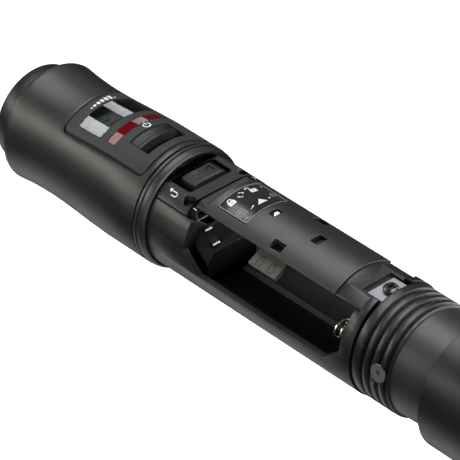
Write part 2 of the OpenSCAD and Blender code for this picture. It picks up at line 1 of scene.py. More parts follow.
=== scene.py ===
"""Looks of a handheld wireless microphone transmitter with an open battery bay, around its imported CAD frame.

Metres everywhere. The handle lies along X, the display faces +Z and the battery bay opens towards -Y and +Y.
"""

import json
import math

import bmesh
import bpy
from mathutils import Matrix, Vector
from mathutils.bvhtree import BVHTree
from mathutils.geometry import tessellate_polygon


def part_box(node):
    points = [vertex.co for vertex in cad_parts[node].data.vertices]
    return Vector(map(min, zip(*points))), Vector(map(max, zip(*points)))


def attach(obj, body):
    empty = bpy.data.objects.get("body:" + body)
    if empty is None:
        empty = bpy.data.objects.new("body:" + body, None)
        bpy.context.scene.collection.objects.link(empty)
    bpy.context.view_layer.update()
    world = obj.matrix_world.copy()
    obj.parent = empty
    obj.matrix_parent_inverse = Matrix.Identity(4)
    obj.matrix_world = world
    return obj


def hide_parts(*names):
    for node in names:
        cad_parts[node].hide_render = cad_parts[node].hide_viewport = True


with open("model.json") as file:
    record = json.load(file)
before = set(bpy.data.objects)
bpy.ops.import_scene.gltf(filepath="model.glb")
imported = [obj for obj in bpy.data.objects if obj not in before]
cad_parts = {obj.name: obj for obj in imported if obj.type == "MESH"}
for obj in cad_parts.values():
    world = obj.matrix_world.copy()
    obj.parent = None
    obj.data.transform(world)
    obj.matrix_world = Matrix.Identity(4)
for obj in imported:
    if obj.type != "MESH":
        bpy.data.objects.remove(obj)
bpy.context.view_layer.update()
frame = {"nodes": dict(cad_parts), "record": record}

MM = 0.001
NODES = frame["nodes"]
scene = bpy.context.scene
scene.view_settings.view_transform = "Standard"


# ---------------------------------------------------------------- camera

VIEW_DEG = (49.0, 35.68, -1.5)      # azimuth, elevation and roll
VIEW_AWAY = 0.9907
LENS_MM = 275.8
AIM_SHIFT_MM = (-0.1, 1.082)        # along the handle and up in the view


def aim_camera():
    """A long lens at the viewing angle of a product shot, aimed at the head end of the battery bay."""
    azimuth, elevation, roll = (math.radians(a) for a in VIEW_DEG)
    low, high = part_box("contact_block")
    aim = Vector(((low.x + high.x) / 2 + AIM_SHIFT_MM[0] * MM, 0, 0))
    back = Vector((math.sin(azimuth) * math.cos(elevation),
                   -math.cos(azimuth) * math.cos(elevation), math.sin(elevation)))
    level = Vector((math.cos(azimuth), math.sin(azimuth), 0))
    over = back.cross(level)
    right = level * math.cos(roll) + over * math.sin(roll)
    up = back.cross(right)
    data = bpy.data.cameras.new("camera")
    data.sensor_width = 36
    data.lens = LENS_MM
    data.clip_start, data.clip_end = 0.01, 50
    camera = bpy.data.objects.new("camera", data)
    scene.collection.objects.link(camera)
    place = Matrix((right, up, back)).transposed().to_4x4()
    place.translation = aim + up * AIM_SHIFT_MM[1] * MM + back * VIEW_AWAY
    camera.matrix_world = place
    scene.camera = camera


aim_camera()


# ---------------------------------------------------------------- materials

def node_tree(name):
    material = bpy.data.materials.new(name)
    material.use_nodes = True
    tree = material.node_tree
    tree.nodes.clear()
    return material, tree


def add(tree, kind, inputs=None, **settings):
    """A shader node with its settings and its inputs, where an input is a value or another node's output."""
    node = tree.nodes.new(kind)
    for key, value in settings.items():
        setattr(node, key, value)
    for key, value in (inputs or {}).items():
        if isinstance(value, bpy.types.NodeSocket):
            tree.links.new(value, node.inputs[key])
        else:
            node.inputs[key].default_value = value
    return node


def rgb(value):
    return (*value, 1.0)


def noise(tree, place, scale, detail=3.0, rough=0.55):
    return add(tree, "ShaderNodeTexNoise",
               {"Vector": place, "Scale": scale, "Detail": detail, "Roughness": rough}).outputs["Fac"]


def spread(tree, fac, low, high, from_low=0.3, from_high=0.7):
    return add(tree, "ShaderNodeMapRange",
               {"Value": fac, "From Min": from_low, "From Max": from_high,
                "To Min": low, "To Max": high}).outputs["Result"]


def mix(tree, fac, a, b):
    node = add(tree, "ShaderNodeMix", {0: fac}, data_type="RGBA")
    for socket, value in ((node.inputs[6], a), (node.inputs[7], b)):
        if isinstance(value, bpy.types.NodeSocket):
            tree.links.new(value, socket)
        else:
            socket.default_value = rgb(value)
    return node.outputs[2]


PER_METRE = 1000                    # turns metres into the mm that the textures count in
CLOUD_SCALE = 0.09


def finish(name, colour, colour_2, rough, grain=6.0, bump=0.02, stain=0.15, metal=0.0, specular=0.5,
           edge=None, edge_radius=0.12, stretch=(1, 1, 1), rough_swing=0.08):
    """A procedural surface: colour clouds, fine grain as bump, uneven gloss and paler edges, partly wear and
    partly painted highlight.

    Sizes are in mm, grain is in grains per mm, and edge is the colour painted on rounded edges: partly rubbed
    wear, partly painted highlight.
    """
    material, tree = node_tree(name)
    where = add(tree, "ShaderNodeTexCoord").outputs["Object"]
    place = add(tree, "ShaderNodeMapping",
                {"Vector": where, "Scale": tuple(PER_METRE * s for s in stretch)}).outputs["Vector"]
    plain = add(tree, "ShaderNodeMapping", {"Vector": where, "Scale": (PER_METRE,) * 3}).outputs["Vector"]
    cloud = noise(tree, plain, CLOUD_SCALE, 4.0)
    fine = noise(tree, place, grain, 2.0)
    paint = mix(tree, spread(tree, cloud, 0, 1), colour, colour_2)
    speck = spread(tree, noise(tree, place, grain * 0.45, 5.0, 0.7), 1 - stain, 1 + stain)
    shade = add(tree, "ShaderNodeVectorMath", {0: paint, "Scale": speck},
                operation="SCALE").outputs["Vector"]
    gloss = add(tree, "ShaderNodeMath",
                {0: spread(tree, cloud, rough - rough_swing / 2, rough + rough_swing / 2),
                 1: spread(tree, fine, -rough_swing / 4, rough_swing / 4)}, operation="ADD").outputs[0]
    rounded = add(tree, "ShaderNodeBevel", {"Radius": edge_radius * MM}, samples=4).outputs["Normal"]
    # Rounded edges painted paler: partly rubbed wear, partly a painted highlight where rims catch light.
    if edge is not None:
        normal = add(tree, "ShaderNodeNewGeometry").outputs["Normal"]
        same = add(tree, "ShaderNodeVectorMath", {0: rounded, 1: normal},
                   operation="DOT_PRODUCT").outputs["Value"]
        rounded_edge_mask = spread(tree, same, 1.0, 0.0, 0.72, 0.98)
        wear_and_highlight = add(tree, "ShaderNodeMath", {0: rounded_edge_mask, 1: spread(tree, cloud, 0.35, 1.0)},
                   operation="MULTIPLY")
        shade = mix(tree, wear_and_highlight.outputs[0], shade, edge)
    relief = add(tree, "ShaderNodeBump",
                 {"Strength": 1.0, "Distance": bump * MM, "Height": fine,
                  "Normal": rounded}).outputs["Normal"]
    surface = add(tree, "ShaderNodeBsdfPrincipled",
                  {"Base Color": shade, "Roughness": gloss, "Metallic": metal,
                   "Specular IOR Level": specular, "Normal": relief})
    out = add(tree, "ShaderNodeOutputMaterial")
    tree.links.new(surface.outputs[0], out.inputs[0])
    return material


GLASS_IOR = 1.52
GLASS_RELIEF_MM = 0.00002


def window_glass(name, tint, gloss_rough):
    """Clear gloss over a dark film: what lies behind shows faintly, and lights reflect sharply."""
    material, tree = node_tree(name)
    where = add(tree, "ShaderNodeTexCoord").outputs["Object"]
    place = add(tree, "ShaderNodeMapping", {"Vector": where, "Scale": (PER_METRE,) * 3}).outputs["Vector"]
    dust = noise(tree, place, 2.2, 6.0, 0.7)
    smear = noise(tree, place, 0.25, 3.0)
    film = mix(tree, spread(tree, smear, 0, 1), tint, tuple(c * 0.8 for c in tint))
    through = add(tree, "ShaderNodeBsdfTransparent", {"Color": film})
    rough = add(tree, "ShaderNodeMath",
                {0: gloss_rough, 1: spread(tree, dust, 0.0, 0.02, 0.5, 0.8)}, operation="ADD").outputs[0]
    relief = add(tree, "ShaderNodeBump",
                 {"Strength": 1.0, "Distance": GLASS_RELIEF_MM * MM, "Height": dust}).outputs["Normal"]
    shine = add(tree, "ShaderNodeBsdfGlossy",
                {"Color": (1, 1, 1, 1), "Roughness": rough, "Normal": relief})
    fresnel = add(tree, "ShaderNodeFresnel", {"IOR": GLASS_IOR, "Normal": relief}).outputs[0]
    behind = add(tree, "ShaderNodeNewGeometry").outputs["Backfacing"]
    front = add(tree, "ShaderNodeMath", {0: 1.0, 1: behind}, operation="SUBTRACT").outputs[0]
    amount = add(tree, "ShaderNodeMath", {0: fresnel, 1: front}, operation="MULTIPLY").outputs[0]
    blend = add(tree, "ShaderNodeMixShader", {0: amount, 1: through.outputs[0], 2: shine.outputs[0]})
    out = add(tree, "ShaderNodeOutputMaterial")
    tree.links.new(blend.outputs[0], out.inputs[0])
    return material


FINISHES = {
    "housing_metal": finish("housing_coat", (0.0050, 0.0048, 0.0046), (0.0038, 0.0038, 0.0040), 0.43,
                            grain=9, bump=0.003, edge=(0.030, 0.030, 0.032), specular=0.5),
    "bezel": finish("bezel_coat", (0.0300, 0.0315, 0.0345), (0.0260, 0.0275, 0.0305), 0.62, grain=10,
                    bump=0.004, edge=(0.055, 0.057, 0.062), specular=0.22),
    "lens": window_glass("window_gloss", (0.75, 0.76, 0.76), 0.02),
    "display": finish("display_film", (0.24, 0.25, 0.265), (0.19, 0.20, 0.215), 0.30, grain=12, bump=0.002,
                      specular=0.4),
    "red_strip": finish("red_gloss", (0.080, 0.0020, 0.0034), (0.064, 0.0015, 0.0026), 0.05, grain=3,
                        bump=0.0, stain=0.05, specular=0.22, rough_swing=0.02),
    "black_plastic": finish("black_moulding", (0.0050, 0.0050, 0.0054), (0.0036, 0.0036, 0.0040), 0.44,
                            grain=7, bump=0.006, edge=(0.020, 0.020, 0.021), specular=0.42),
    "grey_plastic": finish("grey_moulding", (0.0070, 0.0072, 0.0080), (0.0055, 0.0057, 0.0064), 0.44,
                           grain=7, bump=0.008, edge=(0.040, 0.041, 0.044), specular=0.52),
    # Its pale edge colour is partly wear and partly a painted highlight on the rims of the bay opening.
    "frame_metal": finish("frame_coat", (0.0052, 0.0052, 0.0050), (0.0040, 0.0040, 0.0042), 0.42, grain=8,
                          bump=0.004, edge=(0.170, 0.170, 0.172), specular=0.5, edge_radius=0.14),
    "sleeve_metal": finish("sleeve_coat", (0.0050, 0.0048, 0.0046), (0.0038, 0.0038, 0.0040), 0.43, grain=9,
                           bump=0.003, edge=(0.030, 0.030, 0.032), specular=0.5),
    "seal": finish("seal_rubber", (0.0030, 0.0030, 0.0030), (0.0045, 0.0045, 0.0045), 0.75, grain=4,
                   bump=0.02, specular=0.2),
    "board": finish("solder_mask", (0.010, 0.060, 0.028), (0.008, 0.045, 0.022), 0.30, grain=3, bump=0.01,
                    edge=(0.20, 0.16, 0.07), specular=0.5),
    "gold": finish("gold_flash", (0.78, 0.55, 0.24), (0.70, 0.47, 0.20), 0.24, grain=8, bump=0.004,
                   metal=1.0, stain=0.08, edge=(0.95, 0.78, 0.48)),
    "nickel": finish("bright_nickel", (0.80, 0.75, 0.66), (0.70, 0.64, 0.56), 0.24, grain=6, bump=0.003,
                     metal=1.0, stain=0.10),
    # Its white edge colour is partly wear and partly a painted highlight on the plate's rims.
    "bright_plate": finish("tinned_plate", (0.36, 0.37, 0.39), (0.32, 0.33, 0.35), 0.42, grain=5,
                           bump=0.006, metal=0.6, stretch=(0.25, 1, 1), stain=0.06,
                           edge=(0.95, 0.95, 0.95)),
    "screw_steel": finish("blackened_steel", (0.060, 0.058, 0.056), (0.035, 0.033, 0.032), 0.30, grain=6,
                          bump=0.008, metal=0.9, edge=(0.22, 0.21, 0.20)),
    "stamped_steel": finish("stamped_steel", (0.42, 0.42, 0.43), (0.33, 0.33, 0.34), 0.32, grain=5,
                            bump=0.008, metal=1.0, stretch=(0.3, 1, 1), edge=(0.75, 0.75, 0.76)),
    "label": finish("printed_film", (0.0300, 0.0305, 0.0325), (0.0250, 0.0255, 0.0270), 0.20, grain=12,
                    bump=0.0002, specular=0.20, rough_swing=0.01),
    "olive": finish("olive_moulding", (0.060, 0.060, 0.050), (0.049, 0.049, 0.041), 0.55, grain=7,
                    bump=0.015, edge=(0.12, 0.12, 0.105), specular=0.4),
    "former": finish("former_plastic", (0.62, 0.60, 0.52), (0.54, 0.52, 0.45), 0.50, grain=5, bump=0.01),
    "copper": finish("copper_band", (0.62, 0.30, 0.16), (0.50, 0.22, 0.11), 0.28, grain=8, bump=0.004,
                     metal=1.0),
    # Darker than the black moulding: painted shade on the floor inside the bay.
    "bay_painted_shade": finish("bay_painted_shade", (0.0030, 0.0030, 0.0032), (0.0022, 0.0022, 0.0024), 0.60,
                           grain=7, bump=0.006, edge=(0.010, 0.010, 0.010), specular=0.16),
    # A darker, less glossy copy of the grey moulding: painted shade on the flat top of the deck.
    "deck_painted_shade": finish("deck_painted_shade", (0.0062, 0.0064, 0.0070), (0.0050, 0.0052, 0.0058), 0.45,
                            grain=7, bump=0.006, edge=(0.045, 0.046, 0.048), specular=0.40),
    # The grey moulding with a much paler edge: a painted highlight on the shell's end rim, partly wear.
    "shell_moulding": finish("shell_moulding", (0.0070, 0.0072, 0.0080), (0.0055, 0.0057, 0.0064), 0.44,
                             grain=7, bump=0.008, edge=(0.190, 0.192, 0.200), specular=0.52,
                             edge_radius=0.2),
    "key_cap": finish("key_moulding", (0.0042, 0.0043, 0.0048), (0.0034, 0.0035, 0.0040), 0.50, grain=7,
                      bump=0.006, edge=(0.024, 0.025, 0.027), specular=0.34),
    # A darker copy of the olive moulding: painted shade on the rail under the flap.
    "rail": finish("rail_painted_shade", (0.040, 0.039, 0.032), (0.031, 0.030, 0.025), 0.5, grain=7, bump=0.01,
                   edge=(0.09, 0.09, 0.075), specular=0.4),
    "contact_moulding": finish("contact_moulding", (0.0040, 0.0040, 0.0042), (0.0030, 0.0030, 0.0033), 0.52,
                               grain=7, bump=0.006, edge=(0.016, 0.016, 0.017), specular=0.30),
    "contact_gold": finish("contact_gold", (0.90, 0.77, 0.66), (0.84, 0.71, 0.60), 0.40, grain=8,
                           bump=0.004, metal=0.75, stain=0.06, edge=(0.95, 0.84, 0.68)),
    "tail_screw": finish("tail_screw_steel", (0.30, 0.29, 0.28), (0.22, 0.21, 0.20), 0.42, grain=6,
                         bump=0.006, metal=0.7, edge=(0.50, 0.48, 0.46)),
    "antenna_moulding": finish("antenna_moulding", (0.0085, 0.0087, 0.0092), (0.0070, 0.0072, 0.0078), 0.48,
                               grain=9, bump=0.003, edge=(0.030, 0.030, 0.032), specular=0.55),
    "ink": finish("white_ink", (0.80, 0.81, 0.82), (0.72, 0.73, 0.74), 0.45, grain=9, bump=0.002,
                  stain=0.06),
    "dim_ink": finish("dim_ink", (0.085, 0.086, 0.090), (0.070, 0.071, 0.075), 0.45, grain=9, bump=0.002,
                      stain=0.08),
    "grey_ink": finish("grey_ink", (0.30, 0.31, 0.32), (0.24, 0.25, 0.26), 0.45, grain=9, bump=0.002,
                       stain=0.08),
    "lcd_ink": finish("lcd_ink", (0.10, 0.105, 0.11), (0.08, 0.084, 0.09), 0.4, grain=9, bump=0.001),
    # Dark marks that paint the shade in engraved grooves.
    "groove_painted_shade": finish("groove_painted_shade", (0.012, 0.012, 0.011), (0.009, 0.009, 0.008), 0.6, grain=9, bump=0.002),
}

# Pieces that differ in gloss or in tone from the others of their material. The darker tones of the deck,
# the bay floor and the rail are painted shade.
OWN_FINISH = {
    "control_deck": "deck_painted_shade", "label_shell": "shell_moulding", "nav_cap": "key_cap",
    "power_slider": "key_cap", "bay_rail": "rail", "contact_block": "contact_moulding",
    "bay_floor": "bay_painted_shade", "pack_contacts": "contact_gold", "tail_screws": "tail_screw",
    "antenna_cap": "antenna_moulding",
}

for row in frame["record"]["subparts"]:
    for slot in NODES[row["node"]].material_slots:
        slot.material = FINISHES[OWN_FINISH.get(row["node"], row["material_slot"])]


# ---------------------------------------------------------------- rounded edges of the CAD pieces

# Radius in mm. The pieces that are left out keep their CAD edges: the lenses, covers on which a bevel
# leaves streaks, and pieces that have to stay clear of their neighbours when they move.
EDGE_MM = {
    "upper_housing": 0.12, "display_bezel": 0.14, "power_slider": 0.12, "collar_ring": 0.10,
    "capsule_socket": 0.15, "capsule_board": 0.08, "contact_rings": 0.04, "chassis_frame": 0.15,
    "chassis_spine": 0.10, "control_deck": 0.16, "deck_screws": 0.05, "deck_clip": 0.08, "nav_cap": 0.22,
    "nav_switch_base": 0.10, "icon_label": 0.04, "bay_floor": 0.10, "bay_rail": 0.08,
    "contact_block": 0.15, "pack_contacts": 0.10, "spring_plate": 0.10, "ground_plate": 0.06,
    "ground_screw": 0.06, "tail_collar": 0.12, "tail_screws": 0.05, "sleeve_insert": 0.10,
    "switch_body": 0.08, "lcd_module": 0.08, "display_board": 0.08, "main_board": 0.08,
    "shield_can": 0.12,
}
SHARP_MITERS = ("control_deck", "upper_housing")
WELD_AWAY = 2e-6
SAME_FACE_DEG, SHARP_DEG = 0.6, 35


def soften(piece, width, sharp_miter):
    """Joins the tessellation into whole faces and rounds every edge by a modifier."""
    weld = piece.modifiers.new("weld", "WELD")
    weld.merge_threshold = WELD_AWAY
    whole = piece.modifiers.new("whole_faces", "DECIMATE")
    whole.decimate_type = "DISSOLVE"
    whole.angle_limit = math.radians(SAME_FACE_DEG)
    edges = piece.modifiers.new("rounded_edges", "BEVEL")
    edges.width = width * MM
    edges.segments = 2
    edges.limit_method = "ANGLE"
    edges.angle_limit = math.radians(SHARP_DEG)
    edges.use_clamp_overlap = False
    edges.harden_normals = True
    edges.miter_outer = "MITER_SHARP" if sharp_miter else "MITER_ARC"


for name, width in EDGE_MM.items():
    soften(NODES[name], width, name in SHARP_MITERS)


# ---------------------------------------------------------------- printed marks, and engraved outlines drawn as painted shade

def circle(cx, cy, r, start=0, end=360, n=28):
    """Points of a circle or an arc, in degrees; a whole circle does not repeat its first point."""
    count = n if end - start >= 360 else n + 1
    return [(cx + r * math.cos(math.radians(start + (end - start) * i / n)),
             cy + r * math.sin(math.radians(start + (end - start) * i / n))) for i in range(count)]


def rounded(cx, cy, w, h, r, n=5):
    """Outline of a rectangle with rounded corners."""
    corners = ((w / 2 - r, h / 2 - r, 0), (r - w / 2, h / 2 - r, 90), (r - w / 2, r - h / 2, 180),
               (w / 2 - r, r - h / 2, 270))
    return [p for x, y, a in corners for p in circle(cx + x, cy + y, r, a, a + 90, n)]


def stroke(points, width):
    """Outline of a line of that width along open points."""
    left, right = [], []
    for i, (x, y) in enumerate(points):
        (x0, y0), (x1, y1) = points[max(i - 1, 0)], points[min(i + 1, len(points) - 1)]
        length = math.hypot(x1 - x0, y1 - y0)
        nx, ny = -(y1 - y0) / length * width / 2, (x1 - x0) / length * width / 2
        left.append((x + nx, y + ny))
        right.append((x - nx, y - ny))
    return left + right[::-1]


def ring(cx, cy, r, width):
    return [circle(cx, cy, r + width / 2), circle(cx, cy, r - width / 2)]


def frame_line(cx, cy, w, h, r, width):
    return [rounded(cx, cy, w, h, r), rounded(cx, cy, w - 2 * width, h - 2 * width, r - width)]


OUTSIDE_MM = 40                     # farther from the axis than any piece
SLICE_MM = 0.6                      # marks are cut this finely to follow a round surface
SUNK_MM = 0.03                      # how deep the underside of a mark sits


def around(node, x, psi):
    """A place on a round CAD surface: mark coordinates go along the handle and around it, in mm."""
    mesh = NODES[node].data
    tree = BVHTree.FromPolygons([v.co.copy() for v in mesh.vertices],
                                [tuple(f.vertices) for f in mesh.polygons])

    def hit(along, angle):
        out = Vector((0, -math.sin(angle), math.cos(angle)))
        point = tree.ray_cast(Vector((along * MM, 0, 0)) + out * OUTSIDE_MM * MM, -out)[0]
        return point, out

    start = math.radians(psi)
    radius = Vector(hit(x, start)[0].yz).length / MM

    def place(along, across, raised):
        point, out = hit(x + along, start - across / radius)
        return point + out * raised
    return place


def flat(origin, along, across):
    """A place on a flat surface, in mm: origin and the two directions of the mark."""
    u, v = Vector(along).normalized(), Vector(across).normalized()
    out = u.cross(v)

    def place(a, b, raised):
        return Vector(origin) * MM + (u * a + v * b) * MM + out * raised
    return place


MARK_HEIGHT_MM = 0.035


def mark(name, shapes, place, finish_name, body, upright=True, scale=1.0):
    """Thin solid marks laid on a surface. Upright marks read along +Y with their tops towards -X."""
    sheet = bmesh.new()
    for loops in shapes:
        flat_loops = [[Vector((x * scale, y * scale, 0)) for x, y in loop] for loop in loops]
        points = [sheet.verts.new(p) for loop in flat_loops for p in loop]
        for tri in tessellate_polygon(flat_loops):
            a, b, c = (points[i] for i in tri)
            area = (b.co - a.co).cross(c.co - a.co).z
            if abs(area) > 1e-9:
                sheet.faces.new((a, b, c) if area > 0 else (a, c, b))
    reach = max(max(abs(v.co.x), abs(v.co.y)) for v in sheet.verts)
    cuts = math.ceil(reach / SLICE_MM)
    normal = (1, 0, 0) if upright else (0, 1, 0)
    for i in range(-cuts, cuts + 1):
        bmesh.ops.bisect_plane(sheet, geom=sheet.verts[:] + sheet.edges[:] + sheet.faces[:],
                               plane_co=Vector(normal) * i * SLICE_MM, plane_no=normal)
    bmesh.ops.solidify(sheet, geom=sheet.faces[:], thickness=1.0)
    levels = [v.co.z for v in sheet.verts]
    middle = (min(levels) + max(levels)) / 2
    for v in sheet.verts:
        raised = (MARK_HEIGHT_MM if v.co.z > middle else -SUNK_MM) * MM
        v.co = place(-v.co.y, v.co.x, raised) if upright else place(v.co.x, v.co.y, raised)
    bmesh.ops.recalc_face_normals(sheet, faces=sheet.faces[:])
    mesh = bpy.data.meshes.new(name)
    sheet.to_mesh(mesh)
    sheet.free()
    mesh.materials.append(FINISHES[finish_name])
    piece = bpy.data.objects.new(name, mesh)
    scene.collection.objects.link(piece)
    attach(piece, body)
    return piece


def padlock(opened):
    body = [rounded(0, -0.45, 2.3, 1.6, 0.25), circle(0, -0.45, 0.24, n=12)]
    if opened:
        shackle = stroke([(-0.62, 0.45)] + circle(-0.62 - 0.62, 1.0, 0.62, 0, 180, 10), 0.32)
    else:
        shackle = stroke([(0.62, 0.42)] + circle(0, 0.62, 0.62, 0, 180, 12) + [(-0.62, 0.42)], 0.32)
    return [body, [shackle]]


def turning_arrows():
    """Two quarter turns that chase each other."""
    shapes = []
    for flip in (1, -1):
        curve = stroke([(flip * x, flip * y) for x, y in circle(0, 0, 1.0, 15, 95, 10)], 0.26)
        head = [(flip * x, flip * y) for x, y in ((0.62, 0.42), (1.38, 0.42), (1.0, -0.22))]
        shapes += [[curve], [head]]
    return shapes


def signal_bars():
    """Five bars that grow, between two small dots, as a generic sign of a radio signal."""
    heights = [0.8 + 0.3 * i for i in range(5)]
    bars = [[rounded(-3.1 + 1.55 * i, h / 2 - 1.0, 0.95, h, 0.15)] for i, h in enumerate(heights)]
    return bars + [[circle(-4.4, -0.7, 0.3, n=12)], [circle(4.4, -0.7, 0.3, n=12)]]


def power_sign():
    return [[stroke(circle(0, 0, 0.68, -235, 55, 24), 0.24)], [rounded(0, 0.52, 0.24, 0.92, 0.11)]]


def return_arrow():
    """An arrow that turns back, in place of a word for leaving a menu."""
    hook = stroke([(-0.9, 0.45), (0.75, 0.45)] + circle(0.75, -0.1, 0.55, 90, -90, 12)
                  + [(-0.35, -0.65)], 0.24)
    return [[hook], [[(-1.55, 0.45), (-0.8, 1.0), (-0.8, -0.1)]]]


def target_sign():
    return [frame_line(0, 0, 2.7, 2.7, 0.6, 0.22), frame_line(0, 0, 1.5, 1.5, 0.35, 0.2),
            [circle(0, 0, 0.26, n=12)]]


def gear_sign():
    """A rounded outline with a dot and a pip."""
    return [frame_line(0, 0, 2.0, 1.5, 0.5, 0.2), [circle(0, 0, 0.3, n=12)],
            [rounded(0, 1.15, 0.5, 0.3, 0.1)]]


LABEL_MID_X, LABEL_RADIUS = 87.9, 17.37


def label_mark(name, shapes, x, y, finish_name="ink"):
    psi = math.degrees(math.asin(-y / LABEL_RADIUS))
    return mark(name, shapes, around("icon_label", x, psi), finish_name, "handle")


label_mark("label_border", [frame_line(0, 0, 16.0, 11.8, 0.7, 0.2)], LABEL_MID_X, 0, "grey_ink")
label_mark("icon_locked", padlock(False), 84.5, -5.0)
label_mark("icon_turn", turning_arrows(), 84.4, -1.3)
label_mark("icon_unlocked", padlock(True), 84.5, 3.0)
label_mark("icon_pip", [[rounded(0, 0, 0.9, 0.5, 0.2)]], 84.1, 6.6, "grey_ink")
label_mark("icon_target", target_sign(), 89.9, -6.0, "grey_ink")
label_mark("icon_small_bars", [[rounded(-0.35, 0, 0.25, 0.9, 0.1)], [rounded(0.1, 0, 0.25, 0.9, 0.1)],
                               [rounded(0.55, 0, 0.25, 0.9, 0.1)]], 92.4, -6.4, "grey_ink")
label_mark("icon_short_arrow", [[stroke([(-0.9, -0.35), (0.1, 0.05)], 0.24)],
                                [[(0.05, 0.4), (0.3, -0.25), (0.85, 0.35)]]], 90.8, -2.7)
label_mark("icon_triangle", [[[(-1.75, -0.95), (1.75, -0.95), (0.15, 1.15)]]], 90.4, 0.8)
label_mark("icon_dot", [[circle(0, 0, 0.32, n=14)]], 90.5, 3.9)
label_mark("icon_gear", gear_sign(), 89.6, 6.1, "grey_ink")

mark("print_signal_bars", signal_bars(), around("display_bezel", 22.5, -1.9), "ink", "handle")
mark("print_power_sign", power_sign(), around("display_bezel", 42.0, -2.9), "ink", "handle",
     scale=1.6)
mark("print_return_arrow", return_arrow(), around("control_deck", 66.8, 38.5), "ink", "handle",
     upright=False, scale=1.2)

key_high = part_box("nav_cap")[1]
mark("key_glyph", [ring(0, 0, 0.66, 0.22), [rounded(1.0, 0, 0.5, 0.2, 0.09)]],
     flat((65.0, -1.6, key_high.z / MM - 0.05), (1, 0, 0), (0, 1, 0.03)), "dim_ink", "key")


def battery_outlines():
    """Two cells side by side, both pointing the same way."""
    shapes = []
    for x in (-2.3, 2.3):
        shapes += [frame_line(x, -0.15, 2.1, 3.1, 0.3, 0.26), [rounded(x, 1.62, 0.9, 0.42, 0.12)],
                   [rounded(x, 0.6, 0.9, 0.22, 0.09)]]
    return shapes


FLAP_HINGE_MM = Vector((106.15, -8.1, 10.8))    # the middle of the hinge that the flap hangs from
FLAP_DROOP_DEG = 28
FLAP_FACE_MM = (3.5, 1.1)           # from the hinge down the flap, and out to its face

flap_droop = math.radians(FLAP_DROOP_DEG)
flap_across = Vector((0, math.cos(flap_droop), math.sin(flap_droop)))
flap_out = Vector((1, 0, 0)).cross(flap_across)
flap_face = FLAP_HINGE_MM - flap_across * FLAP_FACE_MM[0] + flap_out * FLAP_FACE_MM[1]
# The flap's engraved cell outlines are drawn as dark marks: painted shade of the grooves.
mark("flap_cells", battery_outlines(), flat(flap_face, (1, 0, 0), flap_across), "groove_painted_shade", "flap",
     upright=False)

lcd_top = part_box("lcd_module")[1].z / MM
mark("lcd_segments",
     [[rounded(-6.2, 0.9, 2.2, 1.2, 0.2)], [rounded(-2.4, 0.9, 3.0, 1.2, 0.2)]]
     + [[rounded(2.2 + 0.95 * i, 0.5 + 0.12 * i, 0.6, 1.0 + 0.24 * i, 0.1)] for i in range(5)]
     + [[rounded(-4.2 + 1.7 * i, -1.9, 1.2, 1.5, 0.25)] for i in range(6)],
     flat((28.3, 0, lcd_top), (1, 0, 0), (0, 1, 0)), "lcd_ink", "handle", scale=0.85)


# ---------------------------------------------------------------- coil springs

def coil_spring(name, y):
    """A smooth wire in the place of the faceted one: wide at the tail wall and narrow at its tip."""
    low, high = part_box("cell_springs")
    turns, per_turn, sides = 4, 40, 10
    wide, narrow, wire = 3.3, 2.9, 0.33
    base, tip = high.x / MM - wire, low.x / MM + wire
    mid_z = (low.z + high.z) / 2 / MM
    points, faces = [], []
    rings = turns * per_turn
    for i in range(rings + 1):
        t = i / rings
        a = math.tau * turns * t
        r = wide + (narrow - wide) * t
        for j in range(sides):
            b = math.tau * j / sides
            out = r + wire * math.cos(b)
            points.append(((base + (tip - base) * t + wire * math.sin(b)) * MM, (y + out * math.cos(a)) * MM,
                           (mid_z + out * math.sin(a)) * MM))
    for i in range(rings):
        for j in range(sides):
            k = (j + 1) % sides
            faces.append((i * sides + j, i * sides + k, (i + 1) * sides + k, (i + 1) * sides + j))
    faces += [tuple(range(sides))[::-1], tuple(rings * sides + j for j in range(sides))]
    mesh = bpy.data.meshes.new(name)
    mesh.from_pydata(points, [], faces)
    mesh.validate()
    mesh.materials.append(FINISHES["nickel"])
    mesh.polygons.foreach_set("use_smooth", [True] * len(mesh.polygons))
    piece = bpy.data.objects.new(name, mesh)
    scene.collection.objects.link(piece)
    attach(piece, "handle")
    return piece


CELL_AXIS_MM = 7.4                  # each cell's axis beside the middle plane
SPRINGS = [coil_spring("spring_near", -CELL_AXIS_MM), coil_spring("spring_far", CELL_AXIS_MM)]
for spring in SPRINGS:
    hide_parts("cell_springs")


# ---------------------------------------------------------------- studio

def area_light(name, place, width, height, power, colour):
    """A rectangular soft light that shows in reflections but not to the camera. Sizes are in metres."""
    data = bpy.data.lights.new(name, "AREA")
    data.shape = "RECTANGLE"
    data.size, data.size_y = width, height
    data.energy = power
    data.color = colour
    light = bpy.data.objects.new(name, data)
    light.matrix_world = place
    light.visible_camera = False
    scene.collection.objects.link(light)
    return light


STRIP_MIDDLE = Vector((0.075, 0, 0))
BAY_MIDDLE = Vector((0.1, 0, 0))
FACET_MIDDLE = Vector((0.078, -0.01, 0))


def strip_light(name, around_deg, wide_deg, length, power, colour, along=-0.62, distance=1.0):
    """A long soft light beside the handle, at an angle from +Z towards -Y, as seen from the handle's axis.

    Its length runs along the handle, and its middle is shifted that way by a share of the distance.
    """
    a = math.radians(around_deg)
    out = Vector((0, -math.sin(a), math.cos(a)))
    along_x = Vector((1, 0, 0))
    place = Matrix((along_x, out.cross(along_x), out)).transposed().to_4x4()
    place.translation = STRIP_MIDDLE + Vector((along * distance, 0, 0)) + out * distance
    width = 2 * distance * math.tan(math.radians(wide_deg / 2))
    return area_light(name, place, length, width, power, colour)


def panel_light(name, target, direction, distance, width, height, power, colour):
    """A soft panel that faces a target from a direction; its width lies level."""
    out = Vector(direction).normalized()
    level = Vector((0, 0, 1)).cross(out).normalized()
    place = Matrix((level, out.cross(level), out)).transposed().to_4x4()
    place.translation = target + out * distance
    return area_light(name, place, width, height, power, colour)


